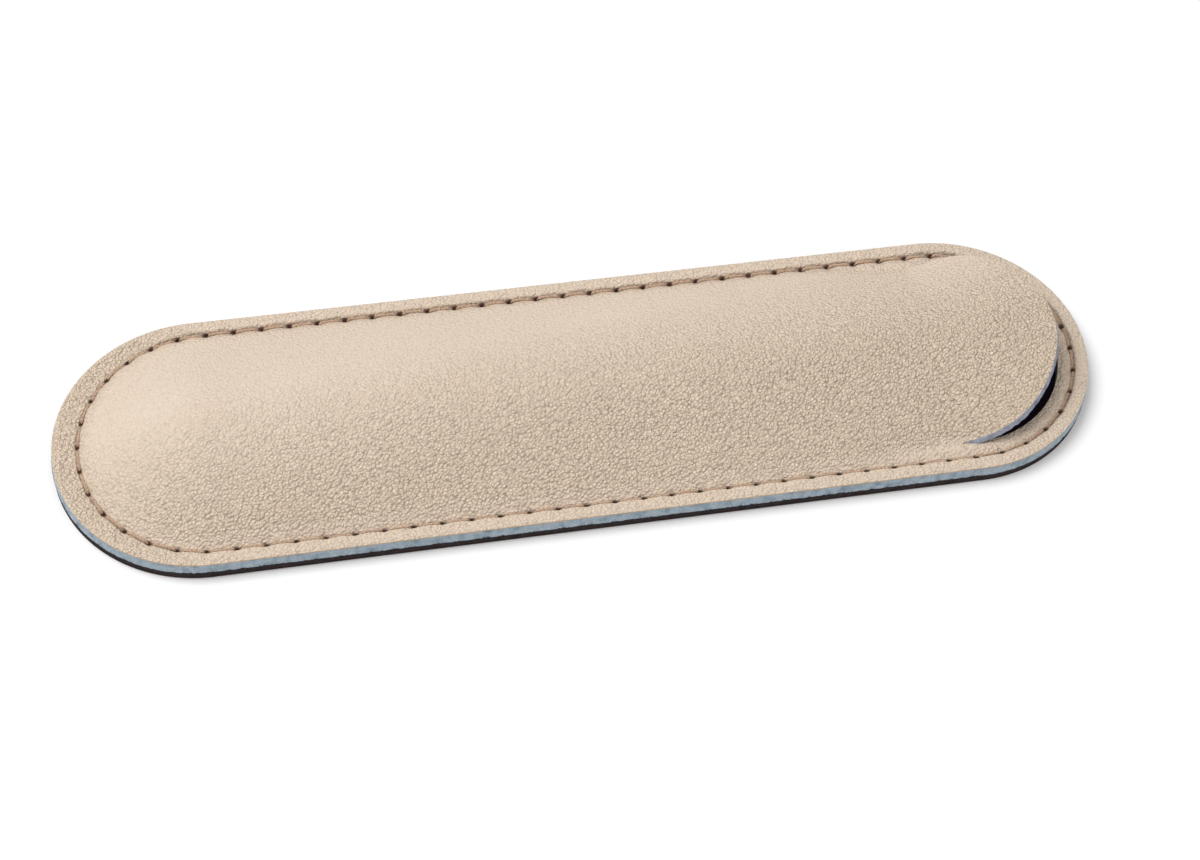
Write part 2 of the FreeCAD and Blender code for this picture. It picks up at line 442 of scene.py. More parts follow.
        # A pebble is 1.2 high in its middle, and the finer forms are added to it one after another.
        heights = [add_node(tree, "ShaderNodeMath", {
            0: hollows, 1: -1.1, 2: 1.2}, operation="MULTIPLY_ADD").outputs[0]]
        for part, share in ((creases, -0.2), (ridges, 0.25), (ridges, 0.5), (pores, 0.25),
                            (folds, self.wrinkle_strength)):
            heights.append(add_node(tree, "ShaderNodeMath", {
                0: part, 1: share, 2: heights[-1]}, operation="MULTIPLY_ADD").outputs[0])
        # The painted highlight and the painted shade follow the pebbles, their creases and low ridges, and
        # not what comes after.
        worn, crease_shade_mask = (
            add_node(tree, "ShaderNodeMapRange", {
                "Value": heights[2], "From Min": start, "From Max": end, "To Max": most}).outputs[0]
            for (start, end), most in ((self.worn_range, self.highlight_share),
                                       (self.sunk_range, self.crease_shade_share)))
        return heights[-1], worn, crease_shade_mask

    def needle_holes(self, tree: bpy.types.NodeTree, seam: bpy.types.Node
                     ) -> tuple[bpy.types.NodeSocket, bpy.types.NodeSocket]:
        """Painted shade of the needle holes and a painted shadow along the groove, from a place's run along
        the seam and its distance from it.

        Args:
            tree: The material's node tree.
            seam: Node that gives a place's run along the seam and its distance from it.

        Returns:
            How much painted shade of a needle hole each place takes, and how much painted shadow of the
            groove that the thread lies in.
        """
        run = add_node(tree, "ShaderNodeMath", {0: seam.outputs["X"]}, operation="FRACT").outputs[0]
        run = add_node(tree, "ShaderNodeMath", {0: run, 1: 0.5}, operation="SUBTRACT").outputs[0]
        spot = add_node(tree, "ShaderNodeCombineXYZ", {0: run, 1: seam.outputs["Y"]}).outputs[0]
        spot = add_node(tree, "ShaderNodeVectorMath", {
            0: spot, 1: (self.stitch_pitch / self.hole_length, self.stitch_pitch / self.hole_width, 0.0)},
            operation="MULTIPLY").outputs[0]
        spot = add_node(tree, "ShaderNodeVectorMath", {0: spot}, operation="LENGTH").outputs["Value"]
        holes = add_node(tree, "ShaderNodeMapRange", {
            "Value": spot, "From Min": self.hole_core, "From Max": 1.0, "To Min": 1.0, "To Max": 0.0},
            interpolation_type="SMOOTHSTEP").outputs[0]
        beside = add_node(tree, "ShaderNodeMath", {0: seam.outputs["Y"]}, operation="ABSOLUTE").outputs[0]
        groove = add_node(tree, "ShaderNodeMapRange", {
            "Value": beside, "From Min": self.groove_edge[0], "From Max": self.groove_edge[1],
            "To Min": self.groove, "To Max": 0.0},
            interpolation_type="SMOOTHSTEP").outputs[0]
        return holes, groove


@dataclass(frozen=True)
class FibreFinish:
    """Cut or flesh side of leather, or a dried film: matted fibres with no grain, quite matte.

    Attributes:
        name: Name of the material.
        light: Colour of the tips of the fibres.
        mid: Colour between them.
        dark: Colour of the deep tufts.
        fibre: Width of one bundle of fibres.
        relief: Height that the fibres stand for.
        roughness: Roughness of the surface.
        stain: Colour that has soaked in from below.
        stain_top: Height that the stain reaches, which is below the sleeve where there is none.
        skin: Colour of the skin on top.
        skin_bottom: Height where the skin starts, which is above the sleeve where there is none.
        fray: How many bundles of fibres high the fine and the coarse raggedness of the stain are.
    """

    name: str
    light: str
    mid: str
    dark: str
    fibre: float
    relief: float
    roughness: float
    stain: str = "#000000"
    stain_top: float = -1.0
    skin: str = "#000000"
    skin_bottom: float = 1.0
    fray: tuple[float, float] = (4.0, 1.5)

    def material(self) -> bpy.types.Material:
        """Builds the matted fibres from two sizes of noise, between a thin skin and a ragged stain.

        Returns:
            The finished material.
        """
        material, tree = empty_material(self.name)
        place = add_node(tree, "ShaderNodeTexCoord").outputs["Object"]
        fibres = add_node(tree, "ShaderNodeTexNoise", {
            "Vector": place, "Scale": 1 / self.fibre, "Detail": 5.0, "Roughness": 0.65}).outputs["Fac"]
        tufts = add_node(tree, "ShaderNodeTexNoise", {
            "Vector": place, "Scale": 0.2 / self.fibre, "Detail": 2.0}).outputs["Fac"]
        pale = add_node(tree, "ShaderNodeMapRange", {
            "Value": fibres, "From Min": 0.38, "From Max": 0.66}).outputs[0]
        deep = add_node(tree, "ShaderNodeMapRange", {
            "Value": tufts, "From Min": 0.45, "From Max": 0.75, "To Max": 0.8}).outputs[0]
        tone = add_node(tree, "ShaderNodeMix", {
            0: pale, 6: linear(self.mid), 7: linear(self.light)}, data_type="RGBA").outputs[2]
        tone = add_node(tree, "ShaderNodeMix", {
            0: deep, 6: tone, 7: linear(self.dark)}, data_type="RGBA").outputs[2]
        level = add_node(tree, "ShaderNodeSeparateXYZ", {0: place}).outputs["Z"]
        topmost = add_node(tree, "ShaderNodeMath", {0: level, 1: self.skin_bottom}, operation="GREATER_THAN")
        for frayed, share in zip((fibres, tufts), self.fray):
            level = add_node(tree, "ShaderNodeMath", {
                0: frayed, 1: -share * self.fibre, 2: level}, operation="MULTIPLY_ADD").outputs[0]
        stained = add_node(tree, "ShaderNodeMath", {
            0: level, 1: self.stain_top - sum(self.fray) / 2 * self.fibre}, operation="LESS_THAN")
        for band, colour in ((topmost, self.skin), (stained, self.stain)):
            tone = add_node(tree, "ShaderNodeMix", {
                0: band.outputs[0], 6: tone, 7: linear(colour)}, data_type="RGBA").outputs[2]
        relief = add_node(tree, "ShaderNodeBump", {
            "Strength": 1.0, "Distance": self.relief, "Height": fibres}).outputs[0]
        shader = add_node(tree, "ShaderNodeBsdfPrincipled", {
            "Base Color": tone, "Roughness": self.roughness, "Specular IOR Level": 0.2, "Normal": relief})
        add_node(tree, "ShaderNodeOutputMaterial", {"Surface": shader.outputs[0]})
        return material


@dataclass(frozen=True)
class ThreadFinish:
    """Bonded polyester sewing thread: silky filaments, a little darker between them.

    Attributes:
        name: Name of the material.
        light: Colour of the filaments.
        dark: Colour between them.
        streak: Width of one streak of filaments.
        roughness: Roughness of the thread.
    """

    name: str
    light: str
    dark: str
    streak: float
    roughness: float

    def material(self) -> bpy.types.Material:
        """Builds the filaments' streaks.

        Returns:
            The finished material.
        """
        material, tree = empty_material(self.name)
        place = add_node(tree, "ShaderNodeTexCoord").outputs["Object"]
        streaks = add_node(tree, "ShaderNodeTexNoise", {
            "Vector": place, "Scale": 1 / self.streak, "Detail": 2.0}).outputs["Fac"]
        share = add_node(tree, "ShaderNodeMapRange", {
            "Value": streaks, "From Min": 0.35, "From Max": 0.65}).outputs[0]
        tone = add_node(tree, "ShaderNodeMix", {
            0: share, 6: linear(self.dark), 7: linear(self.light)}, data_type="RGBA").outputs[2]
        relief = add_node(tree, "ShaderNodeBump", {
            "Strength": 0.6, "Distance": 0.2 * self.streak, "Height": streaks}).outputs[0]
        shader = add_node(tree, "ShaderNodeBsdfPrincipled", {
            "Base Color": tone, "Roughness": self.roughness, "Sheen Weight": 0.25, "Normal": relief})
        add_node(tree, "ShaderNodeOutputMaterial", {"Surface": shader.outputs[0]})
        return material


@dataclass
class Plan:
    """Outline and layer heights, read from the frame.

    Attributes:
        end_radius: Radius of the round ends.
        end_centre: Distance of each end's centre from the middle.
        back_top: Height of the top of the back leather.
        rim_bottom: Height of the underside of the front leather's rim.
        rim_top: Height of the rim's grain.
        crown_top: Height of the crest of the dome.
        lip_root: Place along X where the lip starts to bend up.
        stitch_radius: Distance of the stitch line from the spine.
        front_leather: Thickness of the front leather.
        thread_diameter: Diameter of the needle thread's solid.
        mouth_rim: Width of the rim outside the slit.
        stitch_length: Length of one stitch.
        closed_setback: How much wider the margin outside the stitches is at the closed end.
    """

    end_radius: float
    end_centre: float
    back_top: float
    rim_bottom: float
    rim_top: float
    crown_top: float
    lip_root: float
    stitch_radius: float
    front_leather: float = 1.6 * MM
    thread_diameter: float = 0.55 * MM
    mouth_rim: float = 4.1 * MM
    stitch_length: float = 3.5 * MM
    closed_setback: float = 1.1 * MM

    @classmethod
    def from_frame(cls) -> "Plan":
        """Reads the solids' boxes and the lip's hinge.

        Returns:
            The plan that all pieces share.
        """
        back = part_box("back_panel")[1]
        front_low, front_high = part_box("front_panel")
        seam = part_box("needle_thread")[1]
        hinge = frame["joints"][0]["pos_m"]
        return cls(end_radius=back.y, end_centre=front_high.x - back.y, back_top=back.z,
                   rim_bottom=front_low.z, rim_top=front_low.z + cls.front_leather, crown_top=front_high.z,
                   lip_root=hinge[0], stitch_radius=seam.y - cls.thread_diameter / 2)

    @property
    def slit_radius(self) -> float:
        """Radius of the slit about the mouth end's centre."""
        return self.end_radius - self.mouth_rim

    @property
    def slit_tip(self) -> float:
        """Furthest point of the slit along X."""
        return self.end_centre + self.slit_radius

    @property
    def closed_centre(self) -> float:
        """X of the point that the stitches turn about at the closed end, where their margin is wider."""
        return self.closed_setback - self.end_centre

    @property
    def seam_straight(self) -> float:
        """Length of one straight side of the stitch line."""
        return self.end_centre - self.closed_centre

    @property
    def seam_length(self) -> float:
        """Length of the stitch line once round."""
        return 2 * self.seam_straight + FULL_TURN * self.stitch_radius

    @property
    def stitch_count(self) -> int:
        """Stitches in the seam."""
        return round(self.seam_length / self.stitch_length)

    @property
    def pitch(self) -> float:
        """Run of the seam from one needle hole to the next."""
        return self.seam_length / self.stitch_count

    def spine_distance(self, x: np.ndarray | float, y: np.ndarray | float) -> np.ndarray | float:
        """Distance in plan from the line between the two centres of the outline's ends."""
        return np.hypot(np.maximum(np.abs(x) - self.end_centre, 0), y)

    def seam_distance(self, x: np.ndarray, y: np.ndarray) -> np.ndarray:
        """Distance in plan from the line between the two points that the stitches turn about."""
        return np.hypot(x - np.clip(x, self.closed_centre, self.end_centre), y)

    def seam_run(self, x: np.ndarray, y: np.ndarray) -> np.ndarray:
        """Run along the stitch line of the point nearest to each place.

        Args:
            x: Places along the sleeve.
            y: Places across it.

        Returns:
            The run from the start of the near side, towards the mouth.
        """
        radius = self.stitch_radius
        half = self.seam_straight + math.pi * radius
        mouth_end = self.seam_straight + radius * (np.arctan2(y, x - self.end_centre) + math.pi / 2)
        closed_end = half + self.seam_straight + radius * (
            math.pi / 2 - np.arctan2(y, self.closed_centre - x))
        sides = np.where(y < 0, x - self.closed_centre, half + self.end_centre - x)
        return np.where(x > self.end_centre, mouth_end, np.where(x < self.closed_centre, closed_end, sides))

    def seam_place(self, run: float) -> Vector:
        """Finds a point on the stitch line.

        Args:
            run: Run along the line from the start of the near side.

        Returns:
            The point, at z = 0.
        """
        straight, radius = self.seam_straight, self.stitch_radius
        half = straight + math.pi * radius
        side = -1 if run >= half else 1
        run %= half
        middle = Vector(((self.end_centre + self.closed_centre) / 2, 0, 0))
        if run <= straight:
            return middle + side * Vector((run - straight / 2, -radius, 0))
        angle = (run - straight) / radius
        return middle + side * Vector((straight / 2 + radius * math.sin(angle), -radius * math.cos(angle), 0))

    def seam_phase(self, x: np.ndarray, y: np.ndarray) -> np.ndarray:
        """Place within a stitch, where whole numbers are the needle holes."""
        return self.seam_run(x, y) / self.pitch - 0.5


@dataclass
class LeatherSheet:
    """A stadium of leather in rings: fine near the edge and wider towards the middle.

    Attributes:
        plan: The sleeve's plan.
        lean: How far the grain's edge stands in from the outline.
        arc_steps: Steps round each end.
        run_cuts: Cuts along the straight sides, one pass after another.
        fine_rings: How many of the outer rings are fine.
        fine_step: Width of a fine ring.
        growth: How many times wider each further ring is than the one before.
        widest: Width of the widest ring.
        fray_lengths: Wavelengths of the coarse and the fine fraying of the cut edge.
    """

    plan: Plan
    lean: float = 0.2 * MM
    arc_steps: int = 180
    run_cuts: tuple[int, ...] = (99, 2)
    fine_rings: int = 20
    fine_step: float = 0.15 * MM
    growth: float = 1.14
    widest: float = 1.2 * MM
    fray_lengths: tuple[float, float] = (0.5 * MM, 0.17 * MM)

    @property
    def bend_x(self) -> float:
        """Where the long sides pass into the round ends, with a little over."""
        return self.plan.end_centre + self.plan.end_radius * math.sin(math.pi / (1.5 * self.arc_steps))

    def ring_steps(self, stops: list[float]) -> list[float]:
        """Widths of the rings from the edge to the spine.

        Args:
            stops: Distances from the edge that a ring has to meet, after the fine rings.

        Returns:
            The width of each ring in turn.
        """
        steps = [self.fine_step] * self.fine_rings
        reached = self.fine_rings * self.fine_step
        width = self.fine_step
        for stop in [*stops, self.plan.end_radius - self.lean - self.fine_step]:
            while stop - reached > width * self.growth * 1.5:
                width = min(width * self.growth, self.widest)
                steps.append(width)
                reached += width
            steps.append(stop - reached)
            reached = stop
        return steps

    def build(self, name: str, stops: list[float]) -> bpy.types.Object:
        """Draws the flat sheet at z = 0, grain up.

        Args:
            name: Name of the piece.
            stops: Distances from the edge that a ring has to meet.

        Returns:
            The flat mesh object.
        """
        centre = self.plan.end_centre
        deselect_all()
        bpy.ops.mesh.primitive_circle_add(
            vertices=2 * self.arc_steps, radius=self.plan.end_radius - self.lean)
        sheet = bpy.context.object
        sheet.name = sheet.data.name = name
        bpy.ops.object.mode_set(mode="EDIT")
        bpy.ops.mesh.select_all(action="SELECT")
        bpy.ops.transform.rotate(
            value=math.pi / (2 * self.arc_steps), orient_axis="Z", center_override=(0, 0, 0))
        for side in (-1, 1):
            choose(sheet, Element.VERTS, lambda vert: vert.co.x * side > 0)
            bpy.ops.transform.translate(value=(side * centre, 0, 0))
        for cuts in self.run_cuts:
            choose(sheet, Element.EDGES,
                   lambda edge: max(abs(vert.co.x) for vert in edge.verts) < self.bend_x)
            bpy.ops.mesh.subdivide(number_cuts=cuts)
        bpy.ops.mesh.select_all(action="SELECT")
        bpy.ops.mesh.edge_face_add()
        choose(sheet, Element.FACES, lambda face: True)
        for step in self.ring_steps(stops):
            bpy.ops.mesh.inset(thickness=step)
        bpy.ops.mesh.delete(type="ONLY_FACE")
        self.close_spine(sheet)
        choose(sheet, Element.FACES, lambda face: face.normal.z < 0)
        bpy.ops.mesh.flip_normals()
        bpy.ops.object.mode_set(mode="OBJECT")
        return sheet

    def close_spine(self, sheet: bpy.types.Object) -> None:
        """Draws the innermost ring together on the spine.

        Args:
            sheet: The flat sheet, in edit mode.
        """
        centre = self.plan.end_centre
        bpy.ops.object.mode_set(mode="OBJECT")
        points = read_points(sheet)
        inner = self.plan.spine_distance(points[:, 0], points[:, 1]) < 1.5 * self.fine_step
        points[inner, 0] = np.clip(points[inner, 0], -centre, centre)
        points[inner, 1] = 0
        write_points(sheet, points)
        bpy.ops.object.mode_set(mode="EDIT")
        bpy.ops.mesh.select_all(action="SELECT")
        bpy.ops.mesh.remove_doubles(threshold=0.1 * self.fine_step)

    def thicken(self, sheet: bpy.types.Object, thickness: float, finishes: dict[Layer, bpy.types.Material]
                ) -> int:
        """Gives a shaped sheet its thickness, its flesh side and its cut edge.

        Args:
            sheet: The shaped sheet, grain side out.
            thickness: Thickness of the leather.
            finishes: A material for each kind of face.

        Returns:
            How many vertices lie on the grain side: they come first, and each one's partner on the flesh
            side is that many places after it.
        """
        grain_points = len(sheet.data.vertices)
        for layer in Layer:
            sheet.data.materials.append(finishes[layer])
        solid = sheet.modifiers.new("leather", "SOLIDIFY")
        solid.thickness = thickness
        solid.offset = -1
        solid.use_quality_normals = True
        solid.material_offset = Layer.FLESH.value
        solid.material_offset_rim = Layer.CUT.value
        apply_modifier(sheet, solid)
        return grain_points

    def map_seam(self, sheet: bpy.types.Object) -> None:
        """Stores each place's stitch and distance from the stitch line, both in stitches, as a UV map.

        Args:
            sheet: The finished mesh.
        """
        plan = self.plan
        points = read_points(sheet)
        corners = np.zeros(len(sheet.data.loops), int)
        sheet.data.loops.foreach_get("vertex_index", corners)
        phase = plan.seam_phase(points[:, 0], points[:, 1])[corners]
        offset = (plan.seam_distance(points[:, 0], points[:, 1]) - plan.stitch_radius)[corners] / plan.pitch
        faces = np.zeros(len(sheet.data.polygons), int)
        sheet.data.polygons.foreach_get("loop_total", faces)
        first = np.repeat(np.maximum.reduceat(phase, np.cumsum(faces) - faces), faces)
        phase = np.where(first - phase > plan.stitch_count / 2, phase + plan.stitch_count, phase)
        layer = sheet.data.uv_layers.new(name="seam")
        layer.data.foreach_set("uv", np.stack([phase + 0.5, offset], 1).ravel())

    @property
    def edge_start(self) -> float:
        """Distance from the spine past which a place is on the outer edge."""
        return self.plan.end_radius - 2 * self.lean

    def roughen_edge(self, sheet: bpy.types.Object, bottom: float, height: float, cuts: int, ragged: float,
                     seed: float) -> None:
        """Cuts the upright outer edge into rows and frays it.

        Args:
            sheet: The thickened piece.
            bottom: Height of the foot of the edge.
            height: Height of the edge over its foot.
            cuts: How many cuts part it into rows.
            ragged: How far the fibres stand in or out.
            seed: Shifts the fraying.
        """
        plan = self.plan
        step = height / (cuts + 1)
        rows = [bottom + step * (n + 1) for n in range(cuts)]
        take(sheet)
        bpy.ops.object.mode_set(mode="EDIT")
        for row in rows:
            choose(sheet, Element.FACES, lambda face: face.material_index == Layer.CUT.value and
                   plan.spine_distance(*face.calc_center_median().xy) > self.edge_start)
            bpy.ops.mesh.bisect(plane_co=(0, 0, row), plane_no=(0, 0, 1))
        bpy.ops.object.mode_set(mode="OBJECT")
        points = read_points(sheet)
        spread = plan.spine_distance(points[:, 0], points[:, 1])
        fringe = (spread > self.edge_start) & (points[:, 2] > rows[0] - ragged) & (
            points[:, 2] < rows[-1] + ragged)
        moved = points[fringe]
        outward = moved * (1, 1, 0)
        outward[:, 0] -= np.clip(moved[:, 0], -plan.end_centre, plan.end_centre)
        outward /= np.linalg.norm(outward, axis=1, keepdims=True)
        coarse, fine = self.fray_lengths
        fray = flutter(moved, coarse, seed) + flutter(moved, fine, seed + 3)
        points[fringe] = moved + outward * (0.5 * ragged * (fray - 1))[:, None]
        write_points(sheet, points)


@dataclass
class FrontLeather:
    """Cream front: the sewn rim, the long dome, the needle holes and the lip of the mouth.

    Attributes:
        plan: The sleeve's plan.
        sheet: The sheet that it is cut from.
        lip_cut: Material of the lip's cut edge.
        valley: Depth of the groove that the stitches pull in.
        rim_recovery: Width over which the leather rises out of the groove towards the dome.
        shoulder: Width over which it rises out of the groove towards the edge.
        dome_settle: Depth below the rim of the leather just inside the seam.
        mouth_settle: The same at the mouth.
        edge_roll: Depth of the rolled outer edge.
        edge_roll_width: Width of that roll.
        dome_foot: Distance of the foot of the dome from the stitch line.
        crest_share: How round the crest of the dome is, where 0 is a sharp ridge.
        mouth_narrowing: Length over which the dome draws in from the seam to the slit.
        lip_belly: How far the lip's edge bulges over a straight rise, as a share of the crown.
        lip_belly_start: Share of the lip's length where that bulge starts.
        lip_pull: How far the tip of the lip is drawn back from the rim.
        lip_pull_start: Share of the lip's length where that starts.
        lip_edge: Height of the lip's cut edge.
        lip_edge_lean: How far the foot of that edge stands out.
        lip_fray: How ragged that edge is, as a share of its size.
        lip_fray_length: Wavelength of that raggedness.
        puff: Height of the puckers between the needle holes.
        puff_reach: Reach of the puckers each side of the stitch line.
        hole_depth: Depth of the dent at a needle hole.
        hole_reach: Radius of that dent.
        swell: Height of the dome's slight unevenness.
        swell_length: Wavelength of that unevenness.
        edge_cuts: How many cuts part the outer edge into rows.
        ragged: How far the fibres of the outer edge stand in or out.
        sliver: Width too small to matter.
    """

    plan: Plan
    sheet: LeatherSheet
    lip_cut: bpy.types.Material
    valley: float = 0.5 * MM
    rim_recovery: float = 1.2 * MM
    shoulder: float = 0.4 * MM
    dome_settle: float = 0.25 * MM
    mouth_settle: float = 0.15 * MM
    edge_roll: float = 0.14 * MM
    edge_roll_width: float = 0.4 * MM
    dome_foot: float = 0.12 * MM
    crest_share: float = 0.3
    mouth_narrowing: float = 16.0 * MM
    lip_belly: float = 0.085
    lip_belly_start: float = 0.22
    lip_pull: float = 1.3 * MM
    lip_pull_start: float = 0.35
    lip_edge: float = 0.75 * MM
    lip_edge_lean: float = 0.35 * MM
    lip_fray: float = 0.2
    lip_fray_length: float = 0.45 * MM
    puff: float = 0.1 * MM
    puff_reach: float = 0.9 * MM
    hole_depth: float = 0.32 * MM
    hole_reach: float = 0.36 * MM
    swell: float = 0.16 * MM
    swell_length: float = 17.0 * MM
    edge_cuts: int = 4
    ragged: float = 0.09 * MM
    sliver: float = 0.01 * MM

    def narrow(self, x: np.ndarray) -> np.ndarray:
        """How far the dome has drawn in from the seam to the slit, from 0 to 1."""
        return ease(x, self.plan.lip_root - self.mouth_narrowing, self.plan.lip_root)

    def settle(self, x: np.ndarray) -> np.ndarray:
        """Depth below the rim of the leather just inside the seam."""
        return self.dome_settle + (self.mouth_settle - self.dome_settle) * self.narrow(x)

    def crown(self, x: np.ndarray) -> np.ndarray:
        """Height of the crest over the leather just inside the seam."""
        return self.plan.crown_top - self.plan.rim_top + self.settle(x)

    def profile(self, share: np.ndarray) -> np.ndarray:
        """Section of the dome: a round crest and straight flanks, 1 in the middle and 0 at the foot."""
        crest = self.crest_share
        return np.clip((np.hypot(1, crest) - np.hypot(share, crest)) / (np.hypot(1, crest) - crest), 0, 1)

    def rim_height(self, x: np.ndarray, y: np.ndarray) -> np.ndarray:
        """Height of the flat leather: a rolled edge, and a groove that the stitches pull in.

        Args:
            x: Places along the sleeve.
            y: Places across it.

        Returns:
            The height at each place.
        """
        plan = self.plan
        inset = plan.end_radius - plan.spine_distance(x, y)
        offset = plan.seam_distance(x, y) - plan.stitch_radius
        slope = ease(inset / (inset + np.maximum(offset, 0)), 0, 1)
        shoulder = 1 - ease(offset, 0, self.shoulder)
        closed = ease(-x, plan.end_centre, plan.end_centre + plan.end_radius / 2)
        fall = shoulder + (slope - shoulder) * closed
        climb = ease(-offset, 0, self.rim_recovery)
        roll = np.clip(1 - (inset - self.sheet.lean) / self.edge_roll_width, 0, 1) ** 2
        return (plan.rim_top - self.valley * fall + (self.valley - self.settle(x)) * climb
                - self.edge_roll * roll)

    def stitch_marks(self, x: np.ndarray, y: np.ndarray) -> np.ndarray:
        """Depth of the needle holes and puckers that the pulled thread leaves.

        Args:
            x: Places along the sleeve.
            y: Places across it.

        Returns:
            The depth at each place, less than 0 where the leather puffs up.
        """
        plan = self.plan
        offset = plan.seam_distance(x, y) - plan.stitch_radius
        phase = plan.seam_phase(x, y)
        from_hole = np.abs(phase - np.round(phase)) * plan.pitch
        holes = self.hole_depth * np.exp(-(from_hole ** 2 + offset ** 2) / self.hole_reach ** 2)
        puckers = self.puff * np.cos(FULL_TURN * phase) * np.exp(-(offset / self.puff_reach) ** 2)
        return holes + puckers

    def dome_height(self, x: np.ndarray, y: np.ndarray) -> np.ndarray:
        """Height of the dome over the flat leather, down to nothing at the slit.

        Args:
            x: Places along the sleeve.
            y: Places across it.

        Returns:
            The height at each place.
        """
        plan = self.plan
        wide = plan.stitch_radius - self.dome_foot
        foot = wide + (plan.slit_radius - wide) * self.narrow(x)
        return self.crown(x) * self.profile(plan.seam_distance(x, y) / foot)

    def lip_height(self, x: np.ndarray, y: np.ndarray) -> np.ndarray:
        """Height of the lip over the flat leather: an arch whose feet rise towards the tip.

        Args:
            x: Places along the sleeve.
            y: Places across it.

        Returns:
            The height at each place.
        """
        plan = self.plan
        reach = np.clip((x - plan.lip_root) / (plan.slit_tip - plan.lip_root), 0, 1)
        belly = np.clip((reach - self.lip_belly_start) / (1 - self.lip_belly_start), 0, 1)
        crown = self.crown(x)
        edge = crown * (reach + self.lip_belly * np.sin(math.pi * belly))
        over = np.maximum(x - plan.end_centre, 0)
        half = np.sqrt(np.maximum(plan.slit_radius ** 2 - over ** 2, self.sliver ** 2))
        return edge + (crown - edge) * self.profile(np.abs(y) / half)

    def shape(self, piece: bpy.types.Object, height: Callable[..., np.ndarray]) -> None:
        """Moulds a flat piece of the sheet.

        Args:
            piece: The flat piece.
            height: Gives the height over the flat leather from x and y.
        """
        points = read_points(piece)
        x, y = points[:, 0], points[:, 1]
        dome = height(x, y)
        upper = ease(dome / self.crown(x), 0, 0.6)
        swells = self.swell * flutter(points, self.swell_length, seed=4.0) * upper
        points[:, 2] = self.rim_height(x, y) - self.stitch_marks(x, y) + dome + swells
        write_points(piece, points)

    def split_lip(self, panel: bpy.types.Object) -> bpy.types.Object:
        """Parts the lip from the panel along the slit and across its root.

        Args:
            panel: The flat sheet.

        Returns:
            The lip as its own object.
        """
        plan = self.plan
        take(panel)
        bpy.ops.object.mode_set(mode="EDIT")
        choose(panel, Element.FACES, lambda face: self.in_lip(face.calc_center_median()))
        bpy.ops.mesh.separate(type="SELECTED")
        bpy.ops.object.mode_set(mode="OBJECT")
        lip = next(obj for obj in bpy.context.selected_objects if obj is not panel)
        lip.name = lip.data.name = "front_leather_lip"
        LOG.info("slit parts %d faces from %d, root at %.2f mm", len(lip.data.polygons),
                 len(panel.data.polygons), plan.lip_root / MM)
        return lip

    def in_lip(self, point: Vector) -> bool:
        """Whether a place on the flat sheet belongs to the lip."""
        plan = self.plan
        return point.x > plan.lip_root and plan.spine_distance(point.x, point.y) < plan.slit_radius

    def draw_in_lip(self, lip: bpy.types.Object) -> None:
        """Draws the raised lip back from the rim, as the arch takes up its width.

        Args:
            lip: The moulded lip, still without thickness.
        """
        plan = self.plan
        points = read_points(lip)
        reach = (points[:, 0] - plan.lip_root) / (plan.slit_tip - plan.lip_root)
        pull = self.lip_pull * ease(reach, self.lip_pull_start, 1) / plan.slit_radius
        points[:, 0] -= pull * np.maximum(points[:, 0] - plan.end_centre, 0)
        points[:, 1] -= pull * points[:, 1]
        write_points(lip, points)

    def square_lip_edge(self, lip: bpy.types.Object, slit_edge: np.ndarray, grain_points: int) -> None:
        """Stands the lip's cut edge nearly upright under its grain, a little frayed, as the knife left it.

        Args:
            lip: The thickened lip.
            slit_edge: Which points of its grain lie on the slit.
            grain_points: How many points its grain has.
        """
        points = read_points(lip)
        grain, flesh = points[:grain_points], points[grain_points:2 * grain_points]
        edge = grain[slit_edge]
        centre = np.stack([np.minimum(edge[:, 0], self.plan.end_centre), 0 * edge[:, 1]], 1)
        outward = (edge[:, :2] - centre) / self.plan.slit_radius
        fray = 1 + self.lip_fray * flutter(edge, self.lip_fray_length, seed=6.0)
        opening = ease(edge[:, 0], self.plan.lip_root, self.plan.end_centre)
        flesh[slit_edge, :2] = edge[:, :2] + outward * (self.lip_edge_lean * opening * fray)[:, None]
        flesh[slit_edge, 2] = edge[:, 2] - self.lip_edge * fray
        write_points(lip, points)

    def settle_flesh(self, panel: bpy.types.Object, grain_points: int) -> None:
        """Lays the flesh side of the rim flat on the seam and spreads its cut edge.

        Args:
            panel: The thickened panel.
            grain_points: How many points its grain has.
        """
        plan = self.plan
        points = read_points(panel)
        grain, flesh = points[:grain_points], points[grain_points:2 * grain_points]
        spread = plan.spine_distance(grain[:, 0], grain[:, 1])
        rim = spread > plan.stitch_radius
        flesh[:, 2] = np.where(rim, plan.rim_bottom, np.maximum(flesh[:, 2], plan.rim_bottom))
        flesh[rim, :2] = grain[rim, :2]
        edge = spread > plan.end_radius - 1.1 * self.sheet.lean
        centre = np.clip(grain[edge, 0], -plan.end_centre, plan.end_centre)
        scale = plan.end_radius / spread[edge]
        flesh[edge, 0] = centre + (grain[edge, 0] - centre) * scale
        flesh[edge, 1] = grain[edge, 1] * scale
        write_points(panel, points)

    def build(self, finishes: dict[Layer, bpy.types.Material]) -> tuple[bpy.types.Object, bpy.types.Object]:
        """Makes the panel and its lip, and hangs the panel on the sleeve.

        Args:
            finishes: A material for each kind of face.

        Returns:
            The panel and the lip.
        """
        plan = self.plan
        panel = self.sheet.build("front_leather_body", [plan.mouth_rim - self.sheet.lean])
        lip = self.form(panel, finishes)
        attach(panel, "sleeve")
        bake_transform(lip)
        for piece, node in ((panel, "front_panel"), (lip, "mouth_lip")):
            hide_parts(node)
        return panel, lip

